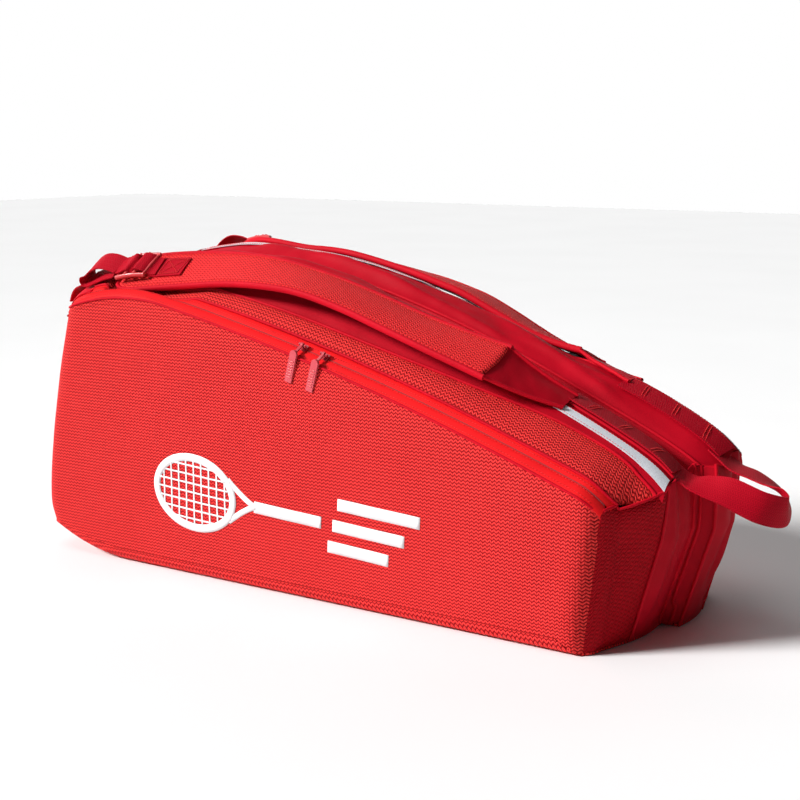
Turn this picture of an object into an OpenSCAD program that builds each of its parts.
// Two-compartment racket tournament bag, resting on its base.
// +X runs along the bag towards the haul loop, -Y is the front, +Z is up.
// The front lobe is modelled; the rear lobe is its mirror image, slumped a little forward.

/* [Body] */
// Length of the body, without the haul loop
body_len = 750; // [720:5:780]
// Height of the crest above the base
crest_h = 328; // [310:2:345]
// Depth of one lobe, from the centre wall to its outer face
lobe_d = 130; // [125:1:140]
// Radius of the upright corners
corner_r = 32; // [26:1:38]
// Radius of the bottom edge
base_r = 14; // [10:1:18]
// Thickness of the padded panels
panel_t = 2.4; // [1.6:0.1:2.6]
// How far the rear lobe sits ahead of the front one
rear_shift = 18; // [0:1:20]
// How much higher the crest of the rear lobe stands near its two ends
rear_lift = 11; // [0:1:12]

/* [Zips] */
// Radius of the long arc that each main zip follows
zip_r = 3136; // [3100:1:3180]
// Distance of the zip line from the centre wall
zip_y = 118; // [114:1:120]
// Place of the left slider, closed
slider_l_x = -48; // [-60:1:-40]
// Place of the right slider, closed
slider_r_x = -22; // [-28:1:0]
// Length of a pull tab
pull_len = 29; // [24:1:32]
// Width of a pull tab
pull_w = 8; // [6:0.5:9]

/* [Straps] */
// Width of the shoulder pads
pad_w = 60; // [54:1:62]
// Thickness of the shoulder pads
pad_t = 11; // [8:0.5:12]
// How much lower the right end of the rear strap lies than the front one
strap_sag = 14; // [0:1:15]
// Width of the shoulder webbing
web_w = 28; // [24:1:30]
// Thickness of all webbing
web_t = 1.8; // [1.4:0.1:2.2]
// Width of the haul loop
haul_w = 31; // [28:1:34]

/* [Hidden] */

kx = body_len / 750;          // length scale of the outlines
kz = crest_h / 328;           // height scale of the outlines
$lift = 0;                    // extra crest height of the lobe being drawn
$sag = 0;                     // how far the right end of its strap hangs lower
origin_x = 7.6;               // puts the origin midway along the bag
lining_t = 1;
strip_t = 0.8;
strip_gap = 0.7;              // the strip lies this far above the band
press_gap = 2.6;              // space between the pressed top and the strap's mesh, with the strip in it
crest_end = 315;              // the top pieces end here and the right end wraps up to them
wrap_drop = 2.6;              // how far below the top surface the right end's upper edge stops
tape_t = 1.6;
tape_rise = 36;               // slope of the zip tapes across the bag, degrees
zip_cx = -836;                // centre of the zip arc
zip_cz = -2783;
zip_end_l = -230;             // the zip leaves its arc beyond these two places
zip_end_r = 256;
face_z0 = base_r + 5;         // the face panel starts here, above the bottom edge
red = [0.86, 0.16, 0.15];
deep_red = [0.62, 0.06, 0.10];

// ---- curves ----
function mix(a, b, t) = a + (b - a) * t;
// Smooth step from 0 at a to 1 at b
function ease(a, b, x) = let(t = min(1, max(0, (x - a) / (b - a)))) t * t * (3 - 2 * t);
function span_at(p, x, i = 0) = (i >= len(p) - 2 || x < p[i + 1][0]) ? i : span_at(p, x, i + 1);
function slope_at(p, i) =
    let(a = p[max(i - 1, 0)], b = p[min(i + 1, len(p) - 1)]) (b[1] - a[1]) / (b[0] - a[0]);
// Smooth curve through the points [x, value]
function curve(p, x) =
    let(i = span_at(p, x), h = p[i + 1][0] - p[i][0], t = (x - p[i][0]) / h)
    (2 * t^3 - 3 * t^2 + 1) * p[i][1] + (t^3 - 2 * t^2 + t) * h * slope_at(p, i)
    + (3 * t^2 - 2 * t^3) * p[i + 1][1] + (t^3 - t^2) * h * slope_at(p, i + 1);
// Quadratic curve from a to c, pulled towards b
function bow(a, b, c, t) = (1 - t)^2 * a + 2 * t * (1 - t) * b + t^2 * c;
function unit(v) = v / norm(v);

// ---- outlines of one lobe, in millimetres ----
crest = [[-410, 280], [-360, 306], [-290, 321], [-200, 328], [-100, 318], [0, 292],
         [100, 257], [187, 220], [260, 187], [300, 164], [330, 136]];
left_edge = [[0, -395], [25, -408], [50, -415], [108, -411], [190, -396], [300, -370]];
seam_line = [[-340, -97], [0, -95], [120, -88], [220, -76], [310, -73]];

function lift_at(x) = $lift * max(ease(130, 240, x / kx), ease(180, 280, -x / kx));
function crest_z(x) = kz * curve(crest, x / kx) + lift_at(x);
// The zip follows a long arc and drops away at both ends
function zip_z(x) =
    let(s = x / kx, l = min(0, s - zip_end_l), r = max(0, s - zip_end_r))
    kz * (zip_cz + sqrt(zip_r^2 - (s - zip_cx)^2) - 0.0020 * l^2 - 0.0152 * r^2);
function face_top(x) = zip_z(x) - 9.5;
// The zip and all above it turn inwards where they reach the upright corners
function tuck(x) =
    let(e = min(1, max(0, (x / kx - 258) / corner_r, (-342 - x / kx) / corner_r)))
    0.45 * corner_r * (1 - sqrt(1 - e^2));
// Top of the lobe: up from the zip to the crest, over it, and down to the centre seam
function free_z(x, y) =
    let(z = zip_z(x), c = crest_z(x), m = kz * curve(crest, x / kx), k = tuck(x))
    curve([[k - zip_y, z], [k / 2 - 94, z + 0.46 * (c - z)], [-62, c], [-30, mix(c, m, 0.5) + 4],
           [-4, m - 9]], y);
// The shoulder strap presses it down where it rests on it
function pressed(x, y, z) =
    let(s = abs(y - strap_c(x)[1]) / cos(curve(strap_tilt, x / kx)),
        reach = ease(pad_w / 2 + 12, pad_w / 2 + 2, s) * ease(pad_x0 - 14, pad_x0 - 2, x / kx)
                * ease(pad_x1 + 34, pad_x1 + 4, x / kx))
    z - reach * max(0, z + press_gap - strap_under(x, y));
function top_z(x, y) = pressed(x, y, free_z(x, y));
function seam_y(x) = curve(seam_line, x / kx);
// The base lifts towards the left end
function base_z(x) = 0.0023 * min(0, x / kx + 290)^2;
function left_x(z) = kx * curve(left_edge, z / kz);
function right_x(z) = kx * (272 + 0.12 * z / kz);
// How far the ends swell between the outer corner and the centre wall
function swell(y) =
    let(t = min(1, max(0, (y + lobe_d - corner_r) / 70))) sin(90 * t) - 0.12 * ease(-25, 0, y);
function left_end_x(y, z) = left_x(z) - 6 * swell(y);
function right_end_x(y, z) = right_x(z) + (14 + 0.22 * z) * swell(y);
// Upright corners, 0 degrees on the end and 90 degrees on the face
function left_corner(a, z) =
    [left_x(z) + corner_r * (1 - cos(a)), corner_r * (1 - sin(a)) - lobe_d, z];
function right_corner(a, z) =
    [right_x(z) - corner_r * (1 - cos(a)), corner_r * (1 - sin(a)) - lobe_d, z];

// ---- solids from surfaces ----
function normal_at(f, u, v) =
    let(e = 0.002) unit(cross(f(min(u + e, 1), v) - f(max(u - e, 0), v),
                              f(u, min(v + e, 1)) - f(u, max(v - e, 0))));
// Closed solid between the surface f(u, v) moved by d0 and by d1 along its normal
module panel(f, nu, nv, d0, d1) {
    n = (nu + 1) * (nv + 1);
    points = [for (d = [d0, d1], i = [0:nu], j = [0:nv])
        f(i / nu, j / nv) + d * normal_at(f, i / nu, j / nv)];
    function at(s, i, j) = s * n + i * (nv + 1) + j;
    function quad(a, b, c, d) = [[a, b, c], [a, c, d]];
    lo = [for (i = [0:nu - 1], j = [0:nv - 1])
        each quad(at(0, i, j), at(0, i + 1, j), at(0, i + 1, j + 1), at(0, i, j + 1))];
    hi = [for (i = [0:nu - 1], j = [0:nv - 1])
        each quad(at(1, i, j), at(1, i, j + 1), at(1, i + 1, j + 1), at(1, i + 1, j))];
    rim_u = [for (i = [0:nu - 1])
        each concat(quad(at(0, i, 0), at(1, i, 0), at(1, i + 1, 0), at(0, i + 1, 0)),
                    quad(at(0, i, nv), at(0, i + 1, nv), at(1, i + 1, nv), at(1, i, nv)))];
    rim_v = [for (j = [0:nv - 1])
        each concat(quad(at(0, 0, j), at(0, 0, j + 1), at(1, 0, j + 1), at(1, 0, j)),
                    quad(at(0, nu, j), at(1, nu, j), at(1, nu, j + 1), at(0, nu, j + 1)))];
    polyhedron(points, concat(lo, hi, rim_u, rim_v));
}
// Closed tube through rings of points
module loft(rings) {
    n = len(rings[0]);
    last = len(rings) - 1;
    sides = [for (i = [0:last - 1], j = [0:n - 1])
        let(a = i * n + j, b = i * n + (j + 1) % n) each [[a, b + n, b], [a, a + n, b + n]]];
    caps = [[for (j = [0:n - 1]) j], [for (j = [n - 1:-1:0]) last * n + j]];
    polyhedron([for (r = rings) each r], concat(sides, caps));
}
// Smooth path through points, t from 0 to 1
function path_at(p, t) =
    let(s = t * (len(p) - 1), i = min(floor(s), len(p) - 2), f = s - i,
        a = p[max(i - 1, 0)], b = p[i], c = p[i + 1], d = p[min(i + 2, len(p) - 1)])
    0.5 * (2 * b + (c - a) * f + (2 * a - 5 * b + 4 * c - d) * f^2 + (3 * b - a - 3 * c + d) * f^3);
// Flat webbing along a path; across[i] points along its width at points[i]
module webbing(points, across, w, t, n) {
    rings = [for (i = [0:n])
        let(s = i / n, c = path_at(points, s), a = unit(path_at(across, s)),
            g = path_at(points, min(1, s + 0.01)) - path_at(points, max(0, s - 0.01)),
            k = unit(cross(unit(g), a)) * t / 2, h = a * w / 2)
        [c - h - k, c + h - k, c + h + k, c - h + k]];
    loft(rings);
}
module front() translate([origin_x, 0, 0]) children();
module rear() {
    $lift = rear_lift;
    $sag = strap_sag;
    translate([origin_x + rear_shift, 0, 0]) mirror([0, 1, 0]) children();
}

// ---- panels of a lobe ----
function face_plan(u, z) =
    u < 0.04 ? left_corner(48 + 42 * u / 0.04, z)
    : u > 0.96 ? right_corner(90 - 42 * (u - 0.96) / 0.04, z)
    : [mix(left_x(z) + corner_r, right_x(z) - corner_r, (u - 0.04) / 0.92), -lobe_d, z];
face_fn = function (u, v)
    let(x0 = face_plan(u, face_z0)[0], x1 = face_plan(u, mix(285, 128, u))[0])
    face_plan(u, mix(face_z0 + base_z(x0), face_top(x1) - 1.2, v));
module face_panel() color(red) panel(face_fn, 25, 5, 0, -panel_t);
module face_lining() color(deep_red) panel(face_fn, 25, 3, -panel_t - 0.3, -panel_t - 0.3 - lining_t);

// Across the tapes: s is the distance from the zip line, up the slope
function tape_pt(x, s) =
    let(y = tuck(x) - zip_y + s * cos(tape_rise), z = zip_z(x) + s * sin(tape_rise))
    [x, y, s > 0 ? pressed(x, y, z) : z];
module lower_zip_tape()
    color(red)
        panel(function (u, v) tape_pt(mix(-356, 284, u) * kx, mix(-13.4, -1.6, v)), 26, 1, 0, -tape_t);
module upper_zip_tape()
    color(red) panel(function (u, v) tape_pt(mix(-342, 289, u) * kx, mix(1.6, 8.4, v)), 30, 2, 0, -tape_t);

// Part of the lobe's top between two lines y0(x) and y1(x); skew slants its right edge
module top_strip(x0, x1, y0, y1, nu, nv, d0, d1, skew = 0)
    panel(function (u, v)
        let(x = mix(x0, x1 + skew * v, u) * kx, y = mix(y0(x), y1(x), v)) [x, y, top_z(x, y)],
        nu, nv, d0, d1);
module top_panel()
    color(red)
        top_strip(-335, 291, function (x) tuck(x) - 108.6, function (x) seam_y(x) - 0.6,
                  28, 3, 0, -panel_t, 17);
module ridge_band()
    color(deep_red)
        top_strip(-335, crest_end, function (x) seam_y(x) + 0.6, function (x) -50, 28, 6, 0, -panel_t);
module reflective_strip()
    color("white")
        top_strip(-335, crest_end, function (x) -71, function (x) -57,
                  28, 2, strip_gap + strip_t, strip_gap);
module crown_panel()
    color(deep_red) top_strip(-335, crest_end, function (x) -48.8, function (x) -5, 28, 5, 0, -panel_t);

// Round the bottom edge, then flat to the centre wall
function base_pt(x, v) =
    let(z = base_z(x), bend = 0.32, a = 90 * v / bend)
    v < bend ? [x, base_r * (1 - cos(a)) - lobe_d, z + base_r * (1 - sin(a))]
    : [x, mix(base_r - lobe_d, -3, (v - bend) / (1 - bend)), z];
module bottom_panel()
    color(red) panel(function (u, v) base_pt(mix(-396, 268, u) * kx, v), 16, 9, 0, panel_t);
module base_board()
    color("dimgray") translate([-280 * kx, 30 - lobe_d, panel_t + 0.4])
        linear_extrude(2.2) union() {
            translate([8, 0]) square([530 * kx, lobe_d - 38]);
            translate([0, 8]) square([530 * kx + 16, lobe_d - 54]);
            for (x = [8, 530 * kx + 8], y = [8, lobe_d - 46]) translate([x, y]) circle(8, $fn = 32);
        }

// Upright end panels: u runs from the corner to the centre, v from the base to the top
function left_plan(a, y1, u, z) =
    u < 0.3 ? left_corner(a * (1 - u / 0.3), z)
    : let(y = mix(corner_r - lobe_d, y1, (u - 0.3) / 0.7)) [left_end_x(y, z), y, z];
function right_plan(a, y1, u, z) =
    u < 0.3 ? right_corner(a * (1 - u / 0.3), z)
    : let(y = mix(corner_r - lobe_d, y1, (u - 0.3) / 0.7)) [right_end_x(y, z), y, z];
corner_z = 262;
module left_gusset()
    color(red) panel(function (u, v) left_plan(40, -62, u, mix(36, kz * corner_z, v)), 6, 6, 0, panel_t);
module left_end_panel()
    color(deep_red) panel(function (u, v)
        let(y = mix(-60, -3, u), z = mix(36, kz * corner_z, v)) [left_end_x(y, z), y, z], 4, 6, 0, panel_t);
// Smooth patch over the top left corner
module corner_patch()
    color(deep_red) panel(function (u, v)
        let(y = mix(-112, -5, u), z0 = kz * corner_z + 3, x0 = left_end_x(y, z0), x1 = -338 * kx)
        bow([x0, y, z0], [x0 + 8, y, top_z(x1, y) - 4], [x1, y, top_z(x1, y)], v), 7, 5, 0, panel_t);
// The right end turns over into the top at x1
function right_wrap(p, x1, v) =
    let(split = 0.7, z0 = p[2], z1 = kz * 100)
    let(foot_x = p[0] - right_end_x(p[1], z0))
    v < split ? let(z = mix(z0, z1, v / split)) [foot_x + right_end_x(p[1], z), p[1], z]
    : let(a = [foot_x + right_end_x(p[1], z1), p[1], z1],
          zt = top_z(x1, max(p[1], tuck(x1) - 114)) - wrap_drop)
      bow(a, [max(a[0], x1) + 1.5, p[1], zt - 10], [x1 + 0.8, p[1], zt], (v - split) / (1 - split));
module right_gusset()
    color(red) panel(function (u, v) right_wrap(right_plan(40, -62, u, mix(base_r + 6, 5, ease(0, 0.5, u))),
        mix(292, crest_end, ease(0.1, 0.9, u)) * kx, v), 6, 9, 0, -panel_t);
module right_end_panel()
    color(deep_red) panel(function (u, v) right_wrap(let(y = mix(-60, -3.5, u)) [right_end_x(y, 5), y, 5],
        crest_end * kx, v), 5, 9, 0, -panel_t);

// Outline of the compartment in the centre plane, drawn in by d
function wall_outline(d) = concat(
    [for (z = [30:25:255]) [left_end_x(0, z * kz) + rear_shift + panel_t + d, z * kz]],
    [for (x = [-325:25:275])
        [x * kx, min([for (s = [-1, 0, 1]) top_z(x * kx + s * rear_shift, -5)]) - panel_t - d]],
    [for (z = [100:-24:4]) [right_end_x(0, z * kz) - panel_t - d, z * kz]],
    [for (x = [265:-60:-340]) [x * kx, max(base_z(x * kx), base_z(x * kx - rear_shift)) + panel_t + d]]);
module upright(y0, t) translate([0, y0 + t, 0]) rotate([90, 0, 0]) linear_extrude(t) children();
module wall_lining() color("gray") upright(-3.4, lining_t) polygon(wall_outline(12));
module divider_wall() color(deep_red) upright(-1.2, 2.4) polygon(wall_outline(10));
module accessory_pocket()
    color([0.15, 0.15, 0.17]) {
        upright(-6, 1.2) polygon([[-120, 70], [120, 70], [120, 176], [-120, 206]] * kz);
        upright(-7.2, 1.3) polygon([[-120, 198], [120, 168], [120, 180], [-120, 210]] * kz);
    }
// Binding that joins the two crowns along the bottom of the valley
module centre_seam_binding()
    color(red) panel(function (u, v) let(x = mix(-322, 300, u) * kx)
        [x, mix(-3.6, 3.6, v), kz * curve(crest, x / kx) - 9.5 - rear_shift * 0.35], 24, 1, 0, -3);

// ---- zip sliders and pulls ----
// Places children on the zip line: local X along it, local Z out of the tapes
function zip_lean(x) = asin((x / kx - zip_cx) / zip_r);
module on_zip(x) translate([x, -zip_y, zip_z(x)]) rotate([0, zip_lean(x), 0]) rotate([tape_rise, 0, 0])
    children();
slider_l = 11;
slider_w = 8;
bridge_h = 5.4;
bar_r = 0.8;
module slider() color([0.80, 0.25, 0.28]) {
    translate([1 - slider_l / 2, -slider_w / 2, 0.5]) cube([slider_l - 2, slider_w, 1.5]);
    // the lower plate grips the tape of the flap only, so that it clears the upper tape
    translate([1 - slider_l / 2, -slider_w / 2, -tape_t - 2]) cube([slider_l - 2, slider_w / 2 + 1.1, 1.5]);
    translate([1 - slider_l / 2, -0.9, -tape_t - 1]) cube([3, 1.8, tape_t + 2]);
    for (x = [-4.2, 2.8]) translate([x, -1.1, 1.8]) cube([1.4, 2.2, bridge_h - 1.8 + bar_r]);
    translate([-4, 0, bridge_h]) rotate([0, 90, 0]) cylinder(r = bar_r, h = 8, $fn = 24);
}
// The pull: an eye round the bar, a link down the tape and a tab that hangs over the face
eye_r = 2.2;
knee = 14;
module pull() color([0.86, 0.35, 0.38]) {
    translate([-1.3, 0, bridge_h]) rotate([0, 90, 0]) difference() {
        cylinder(r = eye_r, h = 2.6, $fn = 32);
        translate([0, 0, -1]) cylinder(r = bar_r + 0.1, h = 5, $fn = 32);
    }
    translate([-1.3, -knee, bridge_h - 0.9]) cube([2.6, knee - 1.8, 1.8]);
    translate([0, -knee, bridge_h]) rotate([-tape_rise, 0, 0]) {
        translate([-pull_w / 2, -1.3, -pull_len]) cube([pull_w, 2.6, pull_len]);
        rotate([90, 0, 0]) translate([0, 0, -1.3]) cylinder(r = pull_w / 2, h = 2.6, $fn = 40);
    }
}

// ---- shoulder strap ----
strap_z = [[-310, 308], [-256, 315], [-190, 320], [-145, 321], [-97, 317], [-55, 310], [-6, 297],
           [41, 282], [87, 268], [155, 249]];
strap_y = [[-310, -95], [-256, -88], [-190, -82], [155, -80]];
strap_tilt = [[-310, 36], [-230, 34], [-150, 25], [-60, 12], [40, 11], [100, 15], [155, 22]];
mesh_t = 0.9;
mesh_gap = 0.5;
pad_x0 = -306;
pad_x1 = 150;
function strap_c(x) =
    [x, curve(strap_y, x / kx),
     kz * curve(strap_z, x / kx) + 0.9 * lift_at(x) - $sag * ease(0, 120, x / kx)];
function strap_across(x) = let(a = curve(strap_tilt, x / kx)) [0, cos(a), sin(a)];
// Height of the underside of the strap, mesh included, above the point (x, y)
function strap_under(x, y) =
    let(c = strap_c(x), a = curve(strap_tilt, x / kx), up = strap_up(x),
        fall = up[2] / norm([up[1], up[2]]))
    c[2] + (y - c[1]) * tan(a) - (pad_t / 2 + mesh_gap + mesh_t) / (cos(a) * fall);
function strap_up(x) = unit(cross(strap_c(x + 2) - strap_c(x - 2), strap_across(x)));
// Half width: round at the left end, full along the pad
function pad_half(x) = pad_w / 2 * (0.45 + 0.55 * sqrt(1 - (1 - min(1, (x - pad_x0 * kx) / 34))^2));
function pad_ring(x) =
    let(w = pad_half(x), c = strap_c(x), a = strap_across(x), k = strap_up(x))
    [for (q = [0:30:330])
        let(cs = cos(q), sn = sin(q))
        c + a * w * sign(cs) * abs(cs)^0.5 + k * pad_t / 2 * sign(sn) * abs(sn)^0.6];
module strap_pad()
    color(red)
        loft([for (i = [0:24]) pad_ring(mix(pad_x0, pad_x1, i < 3 ? i / 60 : (i - 1.9) / 22.1) * kx)]);
module strap_mesh()
    color([0.12, 0.12, 0.13]) panel(function (u, v) let(x = mix(-270, pad_x1 - 6, u) * kx)
        strap_c(x) + strap_across(x) * mix(-22, 22, v) - strap_up(x) * (pad_t / 2 + mesh_gap),
        22, 1, 0, -mesh_t);
// Point on the strap: s across it, h above its middle
function on_strap(x, s, h) = strap_c(x) + strap_across(x) * s + strap_up(x) * h;
lock_x = -284;
lock_h = pad_t / 2 + 5;
module strap_tab()
    color(red) panel(function (u, v) on_strap(mix(lock_x + 22, -228, u) * kx, mix(-14, 14, v),
        pad_t / 2 + 0.4 + 1.2 * (1 - u)), 6, 1, web_t, 0);
// Ladder lock: a frame with three cross bars
lock_l = 34;
lock_w = 36;
lock_t = 5;
module ladder_lock() {
    a = curve(strap_tilt, lock_x);
    color([0.80, 0.10, 0.12])
    translate(on_strap(lock_x * kx, 0, lock_h + 0.6)) rotate([a, 0, 0]) rotate([0, -4, 0]) {
        difference() {
            translate([-lock_l / 2, -lock_w / 2, -lock_t / 2]) cube([lock_l, lock_w, lock_t]);
            for (x = [-12.4, -2.6, 7.2])
                translate([x, -lock_w / 2 + 3.5, -lock_t]) cube([6.4, lock_w - 7, 2 * lock_t]);
        }
    }
}
// Spare webbing: out of the lock, over, and back in a standing loop
module strap_tail() {
    c = on_strap(-306 * kx, 0, lock_h + 2.5);
    a = strap_across(-300);
    path = [[0, 0, 0], [-12, 0, 4], [-27, 0, 4], [-40, 0, -3], [-47, 0, -13], [-43, 0, -16],
            [-31, 0, -12], [-17, 0, -7], [-4, 0, -4]];
    color(red) webbing([for (p = path) c + p], [for (p = path) a], web_w - 2, web_t, 24);
}
// Webbing from the top left corner of the lobe to the lock
module corner_webbing() {
    y = -88;
    pts = [[-386, y, 279], [-381, y, 289], [-370, y, 297], [-348, y - 2, 302.5],
           [-328, y - 5, 308.5], [-310, y - 8, 314.5]];
    color(red) webbing([for (p = pts) [p[0] * kx, p[1], p[2] * kz + 0.78 * $lift * ease(-392, -342, p[0])]],
        [[0, 1, 0.1], [0, 1, 0.2], [0, 1, 0.3], [0, 1, 0.4], [0, 1, 0.6], [0, 1, 0.7]],
        web_w - 2, web_t, 14);
}
// Smooth flap from the end of the pad down to the crown
module anchor_flap()
    color(deep_red) panel(function (u, v)
        let(p = on_strap((pad_x1 + 1) * kx, mix(-27, 27, v), -1), x = 210 * kx, y = mix(-66, -36, v),
            q = mix(p, [x, y, top_z(x, y) + 4.8], u) - [0, 0, 6 * sin(180 * u)])
        [q[0], q[1], max(q[2], top_z(q[0], q[1]) + 4.8)], 8, 4, 0, -2);
module anchor_webbing()
    color(red) top_strip(212, 306, function (x) -36 - web_w / 2, function (x) -36 + web_w / 2,
        12, 3, 0.4 + web_t, 0.4);

// ---- haul loop ----
module haul_loop() {
    pts = [[324, -34, 148], [338, -35, 150], [362, -34, 146], [388, -25, 134], [403, -2, 127],
           [396, 18, 133], [380, 28, 141], [360, 31, 149], [343, 30, 151]];
    across = [[0, 1, 0.1], [0.2, 1, 0.4], [0, 0.7, 0.8], [0, 0.3, 1], [0.1, -0.2, 1],
              [0, -0.7, 0.7], [0, -1, 0.2], [0, -1, 0], [0, -1, 0]];
    color(red) webbing([for (p = pts) [p[0] * kx, p[1], p[2] * kz]], across, haul_w, web_t, 30);
}

// ---- assembly ----
front() face_panel();  // front_face_panel
front() face_lining();  // front_face_lining
front() lower_zip_tape();  // front_lower_zip_tape
front() upper_zip_tape();  // front_upper_zip_tape
front() top_panel();  // front_top_panel
front() ridge_band();  // front_ridge_band
front() reflective_strip();  // front_reflective_strip
front() crown_panel();  // front_crown_panel
front() bottom_panel();  // front_bottom_panel
front() base_board();  // front_base_board
front() left_gusset();  // front_left_gusset
front() left_end_panel();  // front_left_end_panel
front() corner_patch();  // front_corner_patch
front() right_gusset();  // front_right_gusset
front() right_end_panel();  // front_right_end_panel
front() wall_lining();  // front_wall_lining
front() on_zip(slider_l_x) slider();  // front_left_slider
front() on_zip(slider_r_x) slider();  // front_right_slider
front() on_zip(slider_l_x) pull();  // front_left_pull
front() on_zip(slider_r_x) pull();  // front_right_pull
front() strap_pad();  // front_strap_pad
front() strap_mesh();  // front_strap_mesh
front() strap_tab();  // front_strap_tab
front() ladder_lock();  // front_ladder_lock
front() strap_tail();  // front_strap_tail
front() corner_webbing();  // front_corner_webbing
front() anchor_flap();  // front_anchor_flap
front() anchor_webbing();  // front_anchor_webbing
rear() face_panel();  // rear_face_panel
rear() face_lining();  // rear_face_lining
rear() lower_zip_tape();  // rear_lower_zip_tape
rear() upper_zip_tape();  // rear_upper_zip_tape
rear() top_panel();  // rear_top_panel
rear() ridge_band();  // rear_ridge_band
rear() reflective_strip();  // rear_reflective_strip
rear() crown_panel();  // rear_crown_panel
rear() bottom_panel();  // rear_bottom_panel
rear() base_board();  // rear_base_board
rear() left_gusset();  // rear_left_gusset
rear() left_end_panel();  // rear_left_end_panel
rear() corner_patch();  // rear_corner_patch
rear() right_gusset();  // rear_right_gusset
rear() right_end_panel();  // rear_right_end_panel
rear() wall_lining();  // rear_wall_lining
rear() on_zip(slider_l_x) slider();  // rear_left_slider
rear() on_zip(slider_r_x) slider();  // rear_right_slider
rear() on_zip(slider_l_x) pull();  // rear_left_pull
rear() on_zip(slider_r_x) pull();  // rear_right_pull
rear() strap_pad();  // rear_strap_pad
rear() strap_mesh();  // rear_strap_mesh
rear() strap_tab();  // rear_strap_tab
rear() ladder_lock();  // rear_ladder_lock
rear() strap_tail();  // rear_strap_tail
rear() corner_webbing();  // rear_corner_webbing
rear() anchor_flap();  // rear_anchor_flap
rear() anchor_webbing();  // rear_anchor_webbing
front() divider_wall();
front() centre_seam_binding();
front() accessory_pocket();
front() haul_loop();
